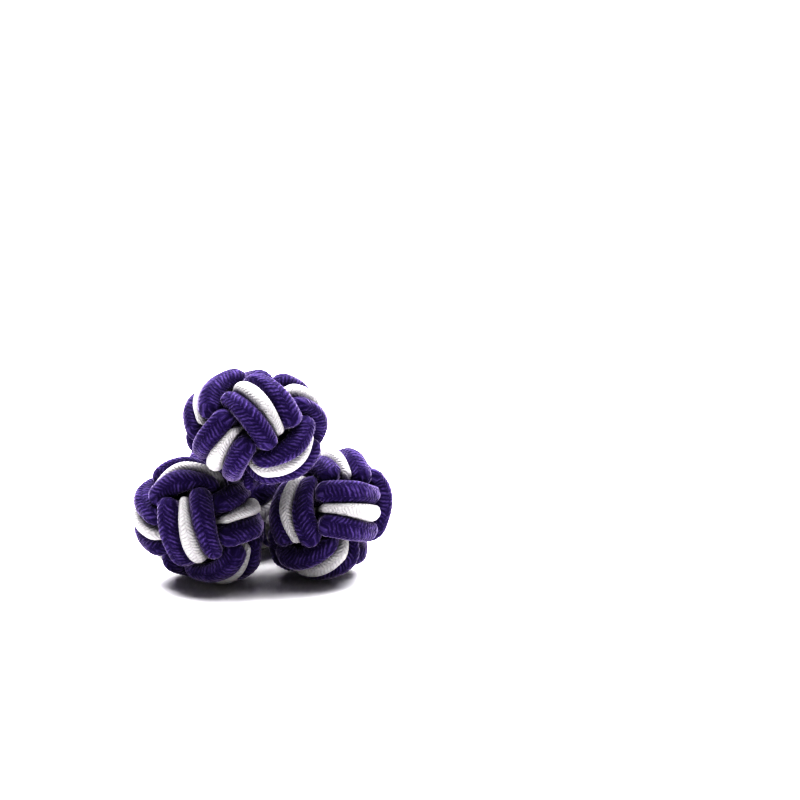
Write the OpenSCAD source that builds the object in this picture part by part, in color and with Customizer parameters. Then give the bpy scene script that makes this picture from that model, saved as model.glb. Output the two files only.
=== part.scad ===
// Silk knot cuff button.
// Four balls sit in a cluster: three stand on the floor and the top one leans over the
// front two. Each ball is tied from one band of three soft cords that lie side by side,
// white in the middle. The band runs through a knot of three leads and four bights,
// over and under by turns, until it meets itself. Two short elastic neck cords join
// the balls in pairs inside the cluster, where the cuff's buttonhole sits.
// +Z is up, the floor is z = 0, and the origin is under the middle of the cluster.

/* [Ball] */
// Radius of a ball at its equator, over the highest cords
ball_r = 5.85; // [5:0.05:7]
// Height of a ball along its pole axis, as a share of its width
ball_squash = 0.88; // [0.8:0.01:1]

/* [Cord] */
// Thickness of a cord where it shows
cord_t = 1.4; // [1:0.05:1.5]
// Thickness of a cord where another band covers it
covered_t = 1; // [0.8:0.05:1.1]
// Clear height between the band on top and the band under it
layer_gap = 0.2; // [0.05:0.05:0.3]
// How far a band falls from the middle of a crossing to its sides
crown = 0.45; // [0:0.05:0.6]
// Share of its room in the band that a cord's width fills
cord_fill = 0.96; // [0.85:0.01:0.98]
// Share by which the middle cord is narrower than an even split of the band
middle_slim = 0.1; // [0:0.01:0.12]
// Share by which the middle cord tapers to where it dives, as its neighbours close in
middle_taper = 0.4; // [0:0.05:0.5]
// Share of its width and thickness that a cord loses where it dives under a band
dive_pinch = 0.15; // [0:0.01:0.3]

/* [Knot] */
// Room for one cord across the band, in degrees at the middle of the ball
cord_pitch = 19.5; // [16:0.5:20]
// Share by which the covered cords crowd together
crowding = 0.25; // [0:0.01:0.3]
// How far the middle cord swings to each side of the equator, in degrees
swing = 54; // [48:1:58]
// How much the tip of each bight is flattened, in degrees
bight_flat = 2; // [0:0.5:4]
// How far the crossings are moved along the equator, in degrees
sway = 3.5; // [0:0.5:5]

/* [Neck] */
// Diameter of an elastic neck cord
neck_d = 0.8; // [0.5:0.05:1]
// Clear gap between the two neck cords where they hook round each other
neck_gap = 0.4; // [0.1:0.05:0.5]

/* [Hidden] */

PURPLE = [0.27, 0.2, 0.52];
WHITE = [0.95, 0.95, 0.94];

// The four balls. x, y and rise, the height of the lowest point above the floor, are
// shares of ball_r. The outer pole leans from upright by lean degrees towards the
// compass direction bearing, and the ball is turned about that pole by turn degrees.
X = 0; Y = 1; RISE = 2; LEAN = 3; BEARING = 4; TURN = 5;
//       x      y     rise  lean bearing turn
TOP = [-0.11, -0.56, 1.61, 12, 63, -13];
LEFT = [-0.89, -0.16, 0, 136, -139, 1];
RIGHT = [0.89, 0.16, 0, 123, -21, 84];
BACK = [-0.2, 1.58, 0, 120, 112, 30];
BALLS = [TOP, LEFT, RIGHT, BACK];

// The knot: three leads and four bights close after four turns of phase, and the
// cord lies over another band at a phase of 60 degrees and under one at 120.
LEADS = 3;
BIGHTS = 4;
ROUND_TRIP = 360 * BIGHTS;
OVER_PHASE = 60;
// Degrees of phase in which a cord changes layer, at a bight and at the equator
bight_slope = 25;
dive_slope = 5;
// Degrees by which an outer cord dives earlier than the middle one
lead_shift = 4.5;
// Angle from the middle of a crossing at which its band is lowest
crown_reach = 40;

// Radius of a cord's middle line at the top of a crossing, and under one
over_r = ball_r - cord_t / 2;
under_r = over_r - crown - (cord_t + covered_t) / 2 - layer_gap;

// Rings of points along a cord, and how far they are drawn to the dives
RING_COUNT = 104;
RING_DRAW = 8;
// Half the phase step that directions are measured over
STEP = 0.05;
// A cord's outline: share of its width, share of its thickness
SECTION = [[0.5, 0], [0.3, 0.5], [-0.3, 0.5], [-0.5, 0], [-0.3, -0.5], [0.3, -0.5]];

function unit(v) = v / norm(v);

// Rises smoothly from -1 to 1 while x goes from -1 to 1
function ease(x) = sin(90 * max(-1, min(1, x)));

// Direction of the middle of the band from the middle of the ball
function band_dir(phase) =
    let (lon = LEADS * phase / BIGHTS + sway * sin(2 * phase),
         lat = swing * cos(phase) - bight_flat * cos(3 * phase))
    [cos(lat) * cos(lon), cos(lat) * sin(lon), sin(lat)];

function heading(phase) = unit(band_dir(phase + STEP) - band_dir(phase - STEP));

// 1 where a cord is in the top layer and -1 where it is in the covered layer
function layer(phase, side) =
    let (half = floor(phase / 180), p = phase - 180 * half,
         shift = lead_shift * (half % 2 == 0 ? side : -side))
    p < 45 ? ease(p / bight_slope) :
    p < 135 ? -ease((p - 90 + shift) / dive_slope) :
    ease((p - 180) / bight_slope);

// Degrees across the band from its middle to the middle cord's edge, and to its own edge
function band_edge(lay) = 1.5 * cord_pitch * (1 - crowding * (1 - lay) / 2);
function middle_edge(phase, lay) =
    let (p = phase - 180 * floor(phase / 180),
         taper = middle_taper * (1 + ease((p - 62) / 28)) * (1 - ease((p - 130) / 20)) / 4)
    band_edge(lay) / 3 * (1 - middle_slim) * (1 - taper);

// Direction of a cord: side is 0 for the middle one, 1 and -1 for its neighbours
function cord_dir(phase, side) =
    let (mid = band_dir(phase), lay = layer(phase, side),
         off = side * (middle_edge(phase, lay) + band_edge(lay)) / 2)
    cos(off) * mid + sin(off) * cross(mid, heading(phase));

// The top layer is highest over the middle of its crossing
function top_r(phase, out) =
    let (middle = band_dir(180 * floor(phase / 180) + OVER_PHASE),
         away = acos(min(1, out * middle)))
    over_r - crown * (1 - cos(180 * min(1, away / crown_reach))) / 2;

function cord_point(phase, side) =
    let (out = cord_dir(phase, side), lay = layer(phase, side))
    out * (under_r + (top_r(phase, out) - under_r) * (1 + lay) / 2);

function ring(phase, side) =
    let (lay = layer(phase, side),
         slim = 1 - dive_pinch * (1 - lay * lay),
         place = cord_point(phase, side),
         along = unit(cord_point(phase + STEP, side) - cord_point(phase - STEP, side)),
         across = unit(cross(place, along)),
         up = cross(along, across),
         inner = middle_edge(phase, lay),
         room = side == 0 ? 2 * inner : band_edge(lay) - inner,
         width = 2 * norm(place) * tan(room / 2) * cord_fill * slim,
         thick = (covered_t + (cord_t - covered_t) * (1 + lay) / 2) * slim)
    [for (s = SECTION) squash(place + s.x * width * across + s.y * thick * up)];

function squash(p) = [p.x, p.y, p.z * ball_squash];

// The rings of one cord, closest together where it dives
function cord_rings(side) =
    [for (i = [0:RING_COUNT - 1])
        let (even = ROUND_TRIP * i / RING_COUNT)
        ring(even + RING_DRAW * sin(2 * even), side)];

RINGS = [for (side = [-1:1]) cord_rings(side)];

// Turning a point of a ball the way that the ball lies
function about_z(p, a) = [p.x * cos(a) - p.y * sin(a), p.x * sin(a) + p.y * cos(a), p.z];
function about_y(p, a) = [p.x * cos(a) + p.z * sin(a), p.y, p.z * cos(a) - p.x * sin(a)];
function lying(p, ball) = about_z(about_y(about_z(p, ball[TURN]), ball[LEAN]), ball[BEARING]);

function cord_points(ball, side) =
    [for (r = RINGS[side + 1]) for (p = r) lying(p, ball)];
function ball_points(ball) = [for (side = [-1:1]) each cord_points(ball, side)];
function reach(points, axis, sign) = sign * max([for (p = points) sign * p[axis]]);

// Middle of a ball before the whole cluster is centred
function raw_middle(ball) =
    [ball[X] * ball_r, ball[Y] * ball_r,
     ball[RISE] * ball_r - reach(ball_points(ball), 2, -1)];
RAW_MIDDLES = [for (ball = BALLS) raw_middle(ball)];
function cluster_reach(axis, sign) =
    sign * max([for (i = [0:len(BALLS) - 1])
        sign * (RAW_MIDDLES[i][axis] + reach(ball_points(BALLS[i]), axis, sign))]);
CENTRING = -[cluster_reach(0, 1) + cluster_reach(0, -1),
             cluster_reach(1, 1) + cluster_reach(1, -1), 0] / 2;
function middle(ball) = raw_middle(ball) + CENTRING;

// Side faces between rings of n points, and to the first ring again if closed
function wall_faces(rings, n, closed) =
    [for (i = [0:rings - (closed ? 1 : 2)]) for (j = [0:n - 1])
        let (a = i * n, b = ((i + 1) % rings) * n, k = (j + 1) % n)
        each [[a + j, b + k, a + k], [a + j, b + j, b + k]]];

module tied_cord(ball, side) {
    sides = len(SECTION);
    translate(middle(ball))
        polyhedron(cord_points(ball, side), wall_faces(RING_COUNT, sides, true), 10);
}

module white_cord(ball) { color(WHITE) tied_cord(ball, 0); }
module purple_cord(ball, side) { color(PURPLE) tied_cord(ball, side); }

// The neck cords. Each comes out of the inner pole of one ball, passes the middle of
// the cluster and goes into the inner pole of another.
// The hollow between the two front balls, and where the neck cords hook round each
// other, both as shares of ball_r
HOLLOW = [0, 0, 1.56];
HOOK = [-0.2, 0.5, 1.56];
// How far from a ball's middle a neck cord ends and how far off it turns away,
// as shares of the distance to the inner pole
NECK_END = 0.6;
NECK_TURN = 1.1;
TOP_TURN = 0.95;
NECK_SIDES = 8;
STEPS_PER_SPAN = 5;

function pole_point(ball, share) =
    middle(ball) + lying([0, 0, -ball_r * ball_squash * share], ball);

// Smooth curve through points, in even steps
function on_span(a, b, c, d, t) =
    b + t * (c - a) / 2 + t * t * (a - 2.5 * b + 2 * c - d / 2)
    + t * t * t * (3 * (b - c) + d - a) / 2;
function smooth(points) =
    let (n = len(points), ends = concat([2 * points[0] - points[1]], points,
                                        [2 * points[n - 1] - points[n - 2]]))
    [for (i = [0:n - 2]) for (s = [0:STEPS_PER_SPAN - (i == n - 2 ? 0 : 1)])
        on_span(ends[i], ends[i + 1], ends[i + 2], ends[i + 3], s / STEPS_PER_SPAN)];

module neck_cord(ball_a, turn_a, via, ball_b) {
    route = smooth(concat(
        [pole_point(ball_a, NECK_END), pole_point(ball_a, turn_a)], via,
        [pole_point(ball_b, NECK_TURN), pole_point(ball_b, NECK_END)]));
    last = len(route) - 1;
    points = [for (i = [0:last])
        let (along = unit(route[min(i + 1, last)] - route[max(i - 1, 0)]),
             across = unit(cross(along, [0.3, 1, 0])), up = cross(along, across))
        for (j = [0:NECK_SIDES - 1])
            route[i] + neck_d / 2 * (cos(360 * j / NECK_SIDES) * across
                                     + sin(360 * j / NECK_SIDES) * up)];
    caps = [[for (j = [0:NECK_SIDES - 1]) j],
            [for (j = [NECK_SIDES - 1:-1:0]) last * NECK_SIDES + j]];
    color(PURPLE) polyhedron(points, concat(wall_faces(last + 1, NECK_SIDES, false), caps), 10);
}

function in_cluster(share) = share * ball_r + CENTRING;
hook_lift = [0, 0, (neck_d + neck_gap) / 2];
module front_neck_cord() { neck_cord(LEFT, NECK_TURN, [in_cluster(HOOK) + hook_lift], RIGHT); }
module back_neck_cord() {
    neck_cord(TOP, TOP_TURN, [in_cluster(HOLLOW), in_cluster(HOOK) - hook_lift], BACK);
}

white_cord(TOP);  // top_white_cord
purple_cord(TOP, 1);  // top_purple_cord_1
purple_cord(TOP, -1);  // top_purple_cord_2
white_cord(LEFT);  // left_white_cord
purple_cord(LEFT, 1);  // left_purple_cord_1
purple_cord(LEFT, -1);  // left_purple_cord_2
white_cord(RIGHT);  // right_white_cord
purple_cord(RIGHT, 1);  // right_purple_cord_1
purple_cord(RIGHT, -1);  // right_purple_cord_2
white_cord(BACK);  // back_white_cord
purple_cord(BACK, 1);  // back_purple_cord_1
purple_cord(BACK, -1);  // back_purple_cord_2
front_neck_cord();
back_neck_cord();
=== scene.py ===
import math
from collections import namedtuple

import bpy
import numpy as np
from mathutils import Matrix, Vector


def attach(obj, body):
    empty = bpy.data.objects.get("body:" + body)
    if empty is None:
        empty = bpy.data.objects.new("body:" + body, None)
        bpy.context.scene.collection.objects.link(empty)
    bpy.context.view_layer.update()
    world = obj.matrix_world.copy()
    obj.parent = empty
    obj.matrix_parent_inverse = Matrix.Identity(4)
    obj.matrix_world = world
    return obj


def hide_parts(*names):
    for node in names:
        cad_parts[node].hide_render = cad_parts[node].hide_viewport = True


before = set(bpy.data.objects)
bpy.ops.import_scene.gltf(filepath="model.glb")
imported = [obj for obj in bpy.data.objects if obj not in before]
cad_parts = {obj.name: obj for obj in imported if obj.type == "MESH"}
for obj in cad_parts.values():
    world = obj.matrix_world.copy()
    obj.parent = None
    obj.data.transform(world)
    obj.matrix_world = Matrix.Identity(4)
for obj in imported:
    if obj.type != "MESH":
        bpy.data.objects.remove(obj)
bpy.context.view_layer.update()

# Sizes of the tied balls, as in the part's source, in metres and degrees
BALL_R = 0.00585
SQUASH = 0.88
CORDS = 3
CORD_T = 0.0014
COVERED_T = 0.001
LAYER_GAP = 0.0002
CROWN = 0.00045
MIDDLE_SLIM = 0.1
MIDDLE_TAPER = 0.4
DIVE_PINCH = 0.15
CORD_PITCH = 19.5
CROWDING = 0.25
LEADS = 3
BIGHTS = 4
SWING = 54
BIGHT_FLAT = 2
SWAY = 3.5
BIGHT_SLOPE = 25
DIVE_PHASE = 90
DIVE_SLOPE = 5
LEAD_SHIFT = 4.5
CROWN_REACH = 40
OVER_PHASE = 60
OVER_R = BALL_R - CORD_T / 2
UNDER_R = OVER_R - CROWN - (CORD_T + COVERED_T) / 2 - LAYER_GAP
# Where a middle cord starts to taper and stops again: middle and half length, in phase
TAPER_IN = (62, 28)
TAPER_OUT = (130, 20)

# Phase from one bight to the next, and once round the whole knot
HALF_TURN = 180
ROUND_TRIP = 360 * BIGHTS
# Small step of phase that gives a cord's direction, and points for measuring its length
STEP = 0.05
ROUTE_POINTS = 28801

# name: middle of the ball, lean, bearing and turn
BALLS = {
    "top": ((-0.000418, -0.006051, 0.014125), 12, 63, -13),
    "left": ((-0.004981, -0.003711, 0.00523), 136, -139, 1),
    "right": ((0.005432, -0.001839, 0.00528), 123, -21, 84),
    "back": ((-0.000945, 0.006468, 0.005656), 120, 112, 30),
}
# A ball whose middle is lower than this many radii lies on the floor
LYING_LOW = 1.2
# Where a side of a ball starts to press, as a cosine, and how far on it presses fully
FLOOR_PRESS = (0.78, 0.16)
BALL_PRESS = (0.7, 0.2)

# The braided cover of a cord: length of a stitch, columns of stitches round the cord, how
# far a column leans in stitches, depth of the stitches as a share of the cord, and rings of
# points for each stitch
Braid = namedtuple("Braid", "length columns slant depth rings")
PURPLE_BRAID = Braid(0.00033, 6, 1.5, 0.075, 5)
WHITE_BRAID = Braid(0.00028, 6, 1.2, 0.045, 4)
NECK_BRAID = Braid(0.00022, 4, 0.8, 0.06, 4)
# Size of the cord between the stitches, as a share of its full size
COVER_LOW = 0.97
# Powers below 1 make stitches and columns rounder
STITCH_POWER = 0.7
COLUMN_POWER = 0.5

# The section of a tied cord: points round it, height of a free cord over its middle line as
# a share of its width, and the power that fills out its corners
SIDES = 24
ROUNDNESS = 0.56
SECTION_POWER = 0.92
# Unevenness of a tied cord, with the number of random values round the knot for each:
# mean width and swelling, twist of the cover in degrees, and drift of the stitches
MEAN_WIDTH = 1.01
SWELLING, SWELLING_VALUES = 0.03, 60
TWIST, TWIST_VALUES = 35, 14
DRIFT, DRIFT_VALUES = 0.15, 90

# The elastic neck: radius, points round it, steps from one given point to the next, and a
# direction that is never along it
NECK_R = 0.0004
NECK_SIDES = 16
NECK_STEPS = 40
NECK_ASIDE = np.array([0.3, 1, 0])
# Points on the axis of a ball, as shares of the way from its middle to its inner pole
NECK_END = 0.6
NECK_EXIT = 1.1
TOP_EXIT = 0.95
# Where the two neck cords hook round each other, and the hollow between the front balls
HOOK = np.array([-0.000945, 0.00015, 0.009126])
LIFT = np.array([0, 0, 0.0006])
HOLLOW = np.array([0.000225, -0.002775, 0.009126])


def sin(a):
    return np.sin(np.radians(a))


def cos(a):
    return np.cos(np.radians(a))


def unit(v):
    return v / np.linalg.norm(v, axis=-1, keepdims=True)


def ease(x):
    """From -1 to 1 over the same range of x, with a soft start and end."""
    return sin(90 * np.clip(x, -1, 1))


def smooth(t):
    """From 0 to 1 over the same range of t, with a soft start and end."""
    return t * t * (3 - 2 * t)


def distances(points):
    """Distance of each point from the first one, along the line."""
    return np.concatenate([[0], np.cumsum(np.linalg.norm(np.diff(points, axis=0), axis=1))])


def half_turn(phase):
    """The number of the half turn that a phase lies in, and how far into it that is."""
    half = np.floor(phase / HALF_TURN)
    return half, phase - HALF_TURN * half


def band_dir(phase):
    """Direction of the middle of the band from the middle of the ball."""
    lon = LEADS / BIGHTS * phase + SWAY * sin(2 * phase)
    lat = SWING * cos(phase) - BIGHT_FLAT * cos(3 * phase)
    return np.stack([cos(lat) * cos(lon), cos(lat) * sin(lon), sin(lat)], -1)


def layer(phase, side):
    """1 where a cord lies over the other bands and -1 where it lies under them."""
    half, p = half_turn(phase)
    shift = LEAD_SHIFT * np.where(half % 2 == 0, side, -side)
    dive = -ease((p - DIVE_PHASE + shift) / DIVE_SLOPE)
    rise = ease((p - HALF_TURN) / BIGHT_SLOPE)
    return np.where(
        p < DIVE_PHASE / 2, ease(p / BIGHT_SLOPE), np.where(p < 1.5 * DIVE_PHASE, dive, rise)
    )


def band_edge(lay):
    """Angle from the middle of the band to its edge."""
    return CORDS / 2 * CORD_PITCH * (1 - CROWDING * (1 - lay) / 2)


def middle_edge(phase, lay):
    """Angle from the middle of the band to the edge of its middle cord."""
    p = half_turn(phase)[1]
    start = 1 + ease((p - TAPER_IN[0]) / TAPER_IN[1])
    end = 1 - ease((p - TAPER_OUT[0]) / TAPER_OUT[1])
    taper = MIDDLE_TAPER * start * end / 4
    return band_edge(lay) / CORDS * (1 - MIDDLE_SLIM) * (1 - taper)


def cord_point(phase, side):
    """Middle of a cord on a ball that isn't squashed. side is 0 for the middle cord, or 1 or -1."""
    lay = layer(phase, side)
    mid = band_dir(phase)
    heading = unit(band_dir(phase + STEP) - band_dir(phase - STEP))
    off = (side * (middle_edge(phase, lay) + band_edge(lay)) / 2)[:, None]
    out = cos(off) * mid + sin(off) * np.cross(mid, heading)
    crossing = band_dir(HALF_TURN * half_turn(phase)[0] + OVER_PHASE)
    away = np.degrees(np.arccos(np.minimum(1, (out * crossing).sum(-1))))
    top = OVER_R - CROWN * (1 - cos(180 * np.minimum(1, away / CROWN_REACH))) / 2
    return out * (UNDER_R + (top - UNDER_R) * (1 + lay) / 2)[:, None]


def even_phases(side, braid):
    """Phases of rings that lie evenly along a cord, a whole number of stitches."""
    phase = np.linspace(0, ROUND_TRIP, ROUTE_POINTS)
    run = distances(cord_point(phase, side))
    count = round(run[-1] / braid.length) * braid.rings
    return np.interp(np.linspace(0, run[-1], count + 1)[:-1], run, phase)


def smooth_noise(count, knots, seed):
    """A closed smooth curve through random values from -1 to 1."""
    values = np.random.default_rng(seed).uniform(-1, 1, knots)
    t = np.arange(count) * knots / count
    i = t.astype(int)
    f = smooth(t - i)
    return values[i] * (1 - f) + values[(i + 1) % knots] * f


def about_z(p, a):
    x, y, z = p[..., 0], p[..., 1], p[..., 2]
    return np.stack([x * cos(a) - y * sin(a), x * sin(a) + y * cos(a), z], -1)


def about_y(p, a):
    x, y, z = p[..., 0], p[..., 1], p[..., 2]
    return np.stack([x * cos(a) + z * sin(a), y, z * cos(a) - x * sin(a)], -1)


def lying(p, middle, lean, bearing, turn):
    """Points of an upright ball, as the ball lies in the cluster."""
    return about_z(about_y(about_z(p, turn), lean), bearing) + np.array(middle)


def ring_points(middle, across, up, x, y):
    """A ring of points round each middle point, x across and y up."""
    return middle[:, None] + x[..., None] * across[:, None] + y[..., None] * up[:, None]


def tube(name, points, stitch, closed=True):
    """A tube through rings of points, with the stitch number and the way round kept as UV.

    It runs into itself, or has a flat cap at each end if it isn't closed.
    """
    count, sides = points.shape[:2]
    spans = count if closed else count - 1
    i, j = np.meshgrid(np.arange(spans), np.arange(sides), indexing="ij")
    ring = np.stack([i, i, i + 1, i + 1], -1).reshape(-1, 4)
    place = np.stack([j, j + 1, j + 1, j], -1).reshape(-1, 4)
    if not closed:
        k = np.arange(sides // 2 - 1)
        cap = np.stack([k, k + 1, sides - 2 - k, sides - 1 - k], -1)
        ring = np.concatenate([ring, np.zeros_like(cap), np.full_like(cap, count - 1)])
        place = np.concatenate([place, cap[:, ::-1], cap])
    faces = ring % count * sides + place % sides

    # The first ring and the first place round come again at the end, whole stitches on
    again = stitch[:1] + np.round((stitch[-1] - stitch[0]).mean())
    u = np.concatenate([stitch, again], 0)
    u = np.concatenate([u, u[:, :1]], 1)
    uv = np.stack([u[ring, place], place / sides], -1)

    mesh = bpy.data.meshes.new(name)
    mesh.vertices.add(count * sides)
    mesh.vertices.foreach_set("co", points.reshape(-1).astype(np.float32))
    mesh.loops.add(faces.size)
    mesh.loops.foreach_set("vertex_index", faces.reshape(-1).astype(np.int32))
    mesh.polygons.add(len(faces))
    mesh.polygons.foreach_set("loop_start", np.arange(0, faces.size, 4, dtype=np.int32))
    mesh.polygons.foreach_set("use_smooth", np.ones(len(faces), bool))
    stitches = mesh.uv_layers.new(name="stitches")
    stitches.data.foreach_set("uv", uv.reshape(-1).astype(np.float32))
    mesh.update()
    mesh.validate()
    piece = bpy.data.objects.new(name, mesh)
    bpy.context.scene.collection.objects.link(piece)
    return piece


def cover(stitch, around, braid):
    """Size of the braided cover, as a share: round stitches that lean left and right by turns."""
    column = around * braid.columns / 360 + 0.5
    odd = np.floor(column) % 2
    leaning = np.abs((column + 1) % 2 - 1)
    rib = np.abs(np.sin(np.pi * (stitch + braid.slant * leaning + 0.5 * odd)))
    edge = np.abs(np.sin(np.pi * column))
    height = rib**STITCH_POWER * (0.5 + 0.5 * edge**COLUMN_POWER)
    return COVER_LOW + braid.depth * height


def pressed(facing, start, span):
    """From 0 to 1 as the cosine of the angle to what a ball presses on goes up."""
    return smooth(np.clip((facing - start) / span, 0, 1))


def room(out, ball):
    """1 where a ball is free on its outside and 0 where it presses on a neighbour or the floor."""
    middle = np.array(BALLS[ball][0])
    free = np.ones(len(out))
    if middle[2] < BALL_R * LYING_LOW:
        free = 1 - pressed(-out[:, 2], *FLOOR_PRESS)
    for other, place in BALLS.items():
        if other != ball:
            facing = (out * unit(np.array(place[0]) - middle)).sum(-1)
            free = np.minimum(free, 1 - pressed(facing, *BALL_PRESS))
    return free


def filled(v):
    """A sine or cosine that fills out the corners of a section a little."""
    return np.sign(v) * np.abs(v) ** SECTION_POWER


def tied_cord(name, ball, side, seed):
    braid = PURPLE_BRAID if side else WHITE_BRAID
    phase = even_phases(side, braid)
    count = len(phase)
    lay = layer(phase, side)
    slim = 1 - DIVE_PINCH * (1 - lay * lay)
    place = cord_point(phase, side)
    along = unit(cord_point(phase + STEP, side) - cord_point(phase - STEP, side))
    across = unit(np.cross(place, along))
    up = np.cross(along, across)
    inner = middle_edge(phase, lay)
    span = 2 * inner if side == 0 else band_edge(lay) - inner
    width = 2 * np.linalg.norm(place, axis=-1) * np.tan(np.radians(span / 2)) * slim
    thick = (COVERED_T + (CORD_T - COVERED_T) * (1 + lay) / 2) * slim

    # A cord swells and narrows a little along its length, and is round where it is free
    width = width * (MEAN_WIDTH + SWELLING * smooth_noise(count, SWELLING_VALUES, seed))
    squashed = unit(place) * [1, 1, SQUASH]
    free = room(unit(lying(squashed, (0, 0, 0), *BALLS[ball][1:])), ball)
    crest = thick / 2 + (ROUNDNESS * width - thick / 2) * free * (1 + lay) / 2

    # The points round the cord drift with the cover, which twists a little
    twist = TWIST * smooth_noise(count, TWIST_VALUES, seed + 1)[:, None]
    around = np.arange(SIDES)[None, :] * 360 / SIDES
    angle = around + twist
    x = filled(cos(angle)) / 2 * width[:, None]
    y = filled(sin(angle))
    y = y * np.where(y > 0, crest[:, None], thick[:, None] / 2)

    drift = DRIFT * smooth_noise(count, DRIFT_VALUES, seed + 3)[:, None]
    stitch = np.arange(count)[:, None] / braid.rings + drift
    stitch = stitch + np.zeros((1, SIDES))
    grow = cover(stitch, around, braid)
    points = ring_points(place, across, up, x * grow, y * grow)
    points[..., 2] *= SQUASH
    return tube(name, lying(points, *BALLS[ball]), stitch)


def smooth_route(points, steps):
    """A smooth curve through points, with so many steps from each one to the next."""
    p = [np.array(q, float) for q in points]
    p = [2 * p[0] - p[1]] + p + [2 * p[-1] - p[-2]]
    route = []
    for a, b, c, d in zip(p, p[1:], p[2:], p[3:]):
        square = a - 2.5 * b + 2 * c - d / 2
        cube = 3 * (b - c) + d - a
        for t in np.arange(steps) / steps:
            route.append(b + t * (c - a) / 2 + t * t * square + t**3 * cube / 2)
    return np.array(route + [p[-2]])


def pole_point(ball, share):
    return lying(np.array([0, 0, -BALL_R * SQUASH * share]), *BALLS[ball])


# Looks, the same for every cord. Colours go from painted shade in the stitch creases, through the
# body colour, to a light colour that paints highlight on the stitch crests and also gives the
# fibres their lighter streaks.
SPECULAR = 0.05
SHEEN_ROUGHNESS = 0.3
PURPLE_SHADE_BODY_HIGHLIGHT = ((0.01, 0.0038, 0.033), (0.0172, 0.0073, 0.057), (0.11, 0.074, 0.22))
# The white colours likewise go from painted shade in the creases, through the body colour, to
# painted highlight on the crests
WHITE_SHADE_BODY_HIGHLIGHT = ((0.335, 0.325, 0.33), (0.395, 0.385, 0.39), (0.44, 0.44, 0.44))
SHADE_BODY_HIGHLIGHT_STOPS = (0.3, 0.6, 0.95)
# Noise that shifts the stitches: its scale, for each metre, and how many stitches it shifts
PATCH_SCALE = 1500.0
PATCH_PUSH = 1.2
NOISE_DETAIL = 2.0
NOISE_ROUGHNESS = 0.6
# A stitch is lower at the edges of its column: the power of the slope and the part that drops
EDGE_POWER = 0.6
EDGE_DROP = 0.55
# Fibres for each stitch, along the cord and round it, and how far they stand out
FIBRES_ALONG = 3.0
FIBRES_ROUND = 4.0
FIBRE_HEIGHT = 0.35
# Shares of the height, the fibres and the stitch's own value in a tone, and what is taken off. The
# height's share paints shade into the creases and highlight onto the crests.
HEIGHT_SHADE_AND_HIGHLIGHT = 0.4
FIBRE_TONE = 0.6
OWN_TONE = 0.15
TONE_OFF = 0.02


def node(tree, kind, **values):
    n = tree.nodes.new(kind)
    for key, value in values.items():
        if key in n.inputs:
            n.inputs[key].default_value = value
        else:
            setattr(n, key, value)
    return n


def noise(tree, vector, scale):
    n = node(
        tree, "ShaderNodeTexNoise", Scale=scale, Detail=NOISE_DETAIL, Roughness=NOISE_ROUGHNESS
    )
    tree.links.new(vector, n.inputs["Vector"])
    return n.outputs["Fac"]


def pair(tree, x, y):
    """Two numbers as a vector."""
    n = node(tree, "ShaderNodeCombineXYZ")
    tree.links.new(x, n.inputs[0])
    tree.links.new(y, n.inputs[1])
    return n.outputs[0]


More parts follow.
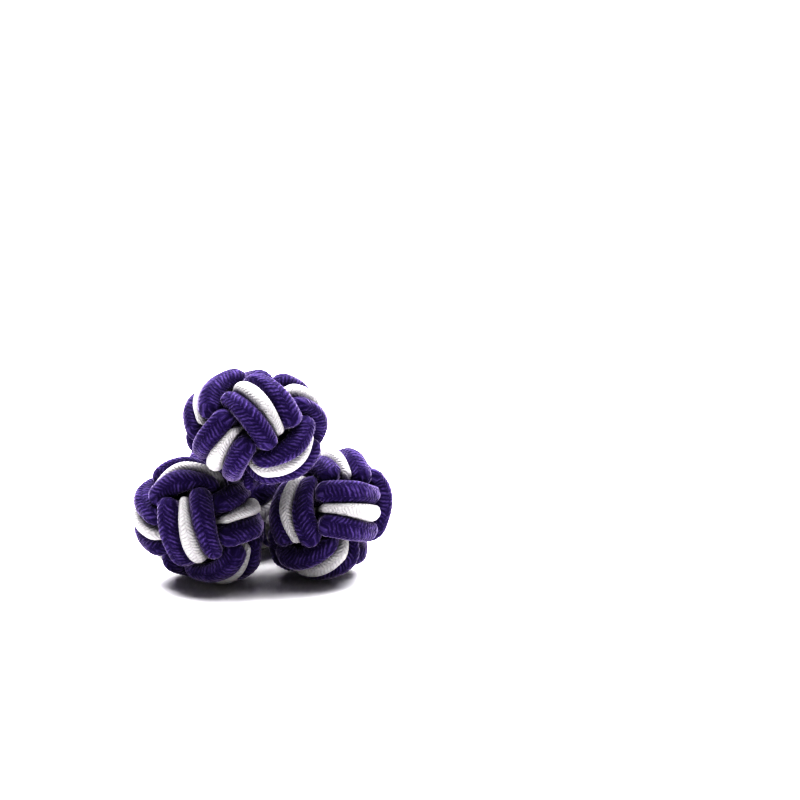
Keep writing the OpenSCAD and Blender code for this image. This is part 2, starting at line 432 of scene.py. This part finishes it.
def cord_material(name, braid, shade_body_highlight, rough, sheen, sheen_colour, relief):
    """Silk or covered elastic: leaning stitches, each of its own tone, with fibres along them, and
    with painted shade in their creases and painted highlight on their crests.
    """
    m = bpy.data.materials.new(name)
    m.use_nodes = True
    tree = m.node_tree
    link = tree.links.new

    def number(operation, a, b=None, c=None):
        """A Math node: a, b and c are numbers or the outputs of other nodes."""
        n = node(tree, "ShaderNodeMath", operation=operation)
        for socket, value in zip(n.inputs, (a, b, c)):
            if isinstance(value, (int, float)):
                socket.default_value = value
            elif value is not None:
                link(value, socket)
        return n.outputs[0]

    def wave(value):
        """0 at each whole number and 1 between them."""
        return number("ABSOLUTE", number("SINE", number("MULTIPLY", value, math.pi)))

    shader = tree.nodes["Principled BSDF"]
    shader.inputs["Roughness"].default_value = rough
    shader.inputs["Sheen Weight"].default_value = sheen
    shader.inputs["Sheen Tint"].default_value = (*sheen_colour, 1)
    shader.inputs["Sheen Roughness"].default_value = SHEEN_ROUGHNESS
    shader.inputs["Specular IOR Level"].default_value = SPECULAR

    uv = node(tree, "ShaderNodeUVMap", uv_map="stitches")
    split = node(tree, "ShaderNodeSeparateXYZ")
    link(uv.outputs[0], split.inputs[0])
    along, around = split.outputs[0], split.outputs[1]
    patches = noise(tree, node(tree, "ShaderNodeTexCoord").outputs["Object"], PATCH_SCALE)

    # The stitch at this point of the cover: columns lean by turns, half a stitch apart
    column = number("MULTIPLY_ADD", around, float(braid.columns), 0.5)
    which = number("FLOOR", column)
    odd = number("MODULO", which, 2.0)
    leaning = number("PINGPONG", column, 1.0)
    stitch = number("MULTIPLY_ADD", leaning, braid.slant, along)
    stitch = number("MULTIPLY_ADD", odd, 0.5, stitch)
    stitch = number("MULTIPLY_ADD", patches, PATCH_PUSH, stitch)
    edge = number("POWER", wave(column), EDGE_POWER)
    slope = number("MULTIPLY_ADD", edge, EDGE_DROP, 1 - EDGE_DROP)
    height = number("MULTIPLY", wave(stitch), slope)

    # Fibres lie along each stitch, and each stitch has its own tone
    run = pair(
        tree, number("MULTIPLY", stitch, FIBRES_ALONG), number("MULTIPLY", column, FIBRES_ROUND)
    )
    fibres = noise(tree, run, 1.0)
    own = node(tree, "ShaderNodeTexWhiteNoise", noise_dimensions="2D")
    cell = pair(tree, number("FLOOR", stitch), number("MODULO", which, float(braid.columns)))
    link(cell, own.inputs["Vector"])

    # Painted shade and highlight from the stitch height, plus the fibres and each stitch's own
    # random tone
    tone_with_painted_shade = number("MULTIPLY_ADD", height, HEIGHT_SHADE_AND_HIGHLIGHT, number("MULTIPLY", fibres, FIBRE_TONE))
    tone_with_painted_shade = number("MULTIPLY_ADD", own.outputs["Value"], OWN_TONE, tone_with_painted_shade)
    tone_with_painted_shade = number("SUBTRACT", tone_with_painted_shade, TONE_OFF)
    # A ramp from painted shade through the body colour to painted highlight
    ramp = node(tree, "ShaderNodeValToRGB")
    stops = ramp.color_ramp.elements
    stops.new(SHADE_BODY_HIGHLIGHT_STOPS[1])
    for stop, position, colour in zip(stops, SHADE_BODY_HIGHLIGHT_STOPS, shade_body_highlight):
        stop.position, stop.color = position, (*colour, 1)
    link(tone_with_painted_shade, ramp.inputs["Fac"])
    link(ramp.outputs["Color"], shader.inputs["Base Color"])

    bump = node(tree, "ShaderNodeBump", Strength=1.0, Distance=relief)
    link(number("MULTIPLY_ADD", fibres, FIBRE_HEIGHT, height), bump.inputs["Height"])
    link(bump.outputs["Normal"], shader.inputs["Normal"])
    return m


PURPLE = cord_material(
    "purple_silk", PURPLE_BRAID, PURPLE_SHADE_BODY_HIGHLIGHT,
    rough=0.7, sheen=0.6, sheen_colour=(0.8, 0.68, 1.0), relief=0.00005,
)
WHITE = cord_material(
    "white_silk", WHITE_BRAID, WHITE_SHADE_BODY_HIGHLIGHT,
    rough=0.7, sheen=0.05, sheen_colour=(1.0, 1.0, 1.0), relief=0.00006,
)
ELASTIC = cord_material(
    "covered_elastic", NECK_BRAID, PURPLE_SHADE_BODY_HIGHLIGHT,
    rough=0.8, sheen=0.2, sheen_colour=(0.78, 0.64, 1.0), relief=0.00004,
)

# Every cord has its own seed
seed = 10
for ball in BALLS:
    for side, word in ((0, "white_cord"), (1, "purple_cord_1"), (-1, "purple_cord_2")):
        seed += 10
        cad_name = ball + "_" + word
        cord = tied_cord(cad_name + "_silk", ball, side, seed)
        cord.data.materials.append(WHITE if side == 0 else PURPLE)
        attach(cord, "root")
        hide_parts(cad_name)


def neck_cord(name, cad_name, stations):
    route = smooth_route(stations, NECK_STEPS)
    run = distances(route)
    count = int(run[-1] / NECK_BRAID.length) * NECK_BRAID.rings
    even = np.linspace(0, run[-1], count)
    route = np.stack([np.interp(even, run, route[:, i]) for i in range(3)], -1)
    along = unit(np.gradient(route, axis=0))
    across = unit(np.cross(along, NECK_ASIDE))
    up = np.cross(along, across)
    angle = np.arange(NECK_SIDES)[None, :] * 360 / NECK_SIDES
    stitch = (even / NECK_BRAID.length)[:, None] + np.zeros((1, NECK_SIDES))
    r = NECK_R * cover(stitch, angle, NECK_BRAID)
    points = ring_points(route, across, up, r * cos(angle), r * sin(angle))
    piece = tube(name, points, stitch, closed=False)
    piece.data.materials.append(ELASTIC)
    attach(piece, "root")
    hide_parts(cad_name)


neck_cord("front_neck_elastic", "front_neck_cord", [
    pole_point("left", NECK_END),
    pole_point("left", NECK_EXIT),
    HOOK + LIFT,
    pole_point("right", NECK_EXIT),
    pole_point("right", NECK_END),
])
neck_cord("back_neck_elastic", "back_neck_cord", [
    pole_point("top", NECK_END),
    pole_point("top", TOP_EXIT),
    HOLLOW,
    HOOK - LIFT,
    pole_point("back", NECK_EXIT),
    pole_point("back", NECK_END),
])

# The floor
FLOOR_REACH = 3.0
corners = [(x * FLOOR_REACH, y * FLOOR_REACH, 0) for x, y in ((-1, -1), (1, -1), (1, 1), (-1, 1))]
floor_mesh = bpy.data.meshes.new("floor")
floor_mesh.from_pydata(corners, [], [(0, 1, 2, 3)])
floor = bpy.data.objects.new("floor", floor_mesh)
bpy.context.scene.collection.objects.link(floor)
pale = bpy.data.materials.new("pale_floor")
pale.use_nodes = True
floor_shader = pale.node_tree.nodes["Principled BSDF"]
floor_shader.inputs["Base Color"].default_value = (0.9, 0.89, 0.9, 1)
floor_shader.inputs["Roughness"].default_value = 0.9
floor_mesh.materials.append(pale)

# Weak light from all round, and one large softbox above and behind
world = bpy.data.worlds.new("studio")
bpy.context.scene.world = world
world.use_nodes = True
background = world.node_tree.nodes["Background"]
background.inputs["Color"].default_value = (1.0, 1.0, 1.0, 1)
background.inputs["Strength"].default_value = 0.17

SOFTBOX_PLACE = Vector((0.02, 0.175, 0.4))
SOFTBOX_AIM = Vector((0, 0, 0.008))
softbox = bpy.data.lights.new("overhead", "AREA")
softbox.shape = "DISK"
softbox.size = 0.75
softbox.energy = 23.0
light = bpy.data.objects.new("overhead", softbox)
bpy.context.scene.collection.objects.link(light)
light.location = SOFTBOX_PLACE
light.rotation_euler = (SOFTBOX_AIM - SOFTBOX_PLACE).to_track_quat("-Z", "Y").to_euler()

# The camera looks down by RISE on a point to the right of the front balls and above them
RISE = math.radians(15)
DISTANCE = 0.5
FRAME_WIDTH = 0.0668
SENSOR = 36
FRONT_MIDDLE = Vector((0.000225, -0.002775, 0.005255))
RIGHT_BY = 0.01136
ABOVE_BY = 0.0099
camera_data = bpy.data.cameras.new("camera")
camera_data.sensor_width = SENSOR
camera_data.lens = SENSOR * DISTANCE / FRAME_WIDTH
camera_data.clip_start = 0.01
camera_data.clip_end = 20
camera = bpy.data.objects.new("camera", camera_data)
bpy.context.scene.collection.objects.link(camera)
right = Vector((1, 0, 0))
upward = Vector((0, math.sin(RISE), math.cos(RISE)))
back = Vector((0, -math.cos(RISE), math.sin(RISE)))
aim = FRONT_MIDDLE + right * RIGHT_BY + upward * ABOVE_BY
camera.location = aim + back * DISTANCE
camera.rotation_euler = (-back).to_track_quat("-Z", "Y").to_euler()
bpy.context.scene.camera = camera
view = bpy.context.scene.view_settings
view.view_transform = "Standard"
view.gamma = 0.65
view.exposure = 0.05

bpy.context.view_layer.update()
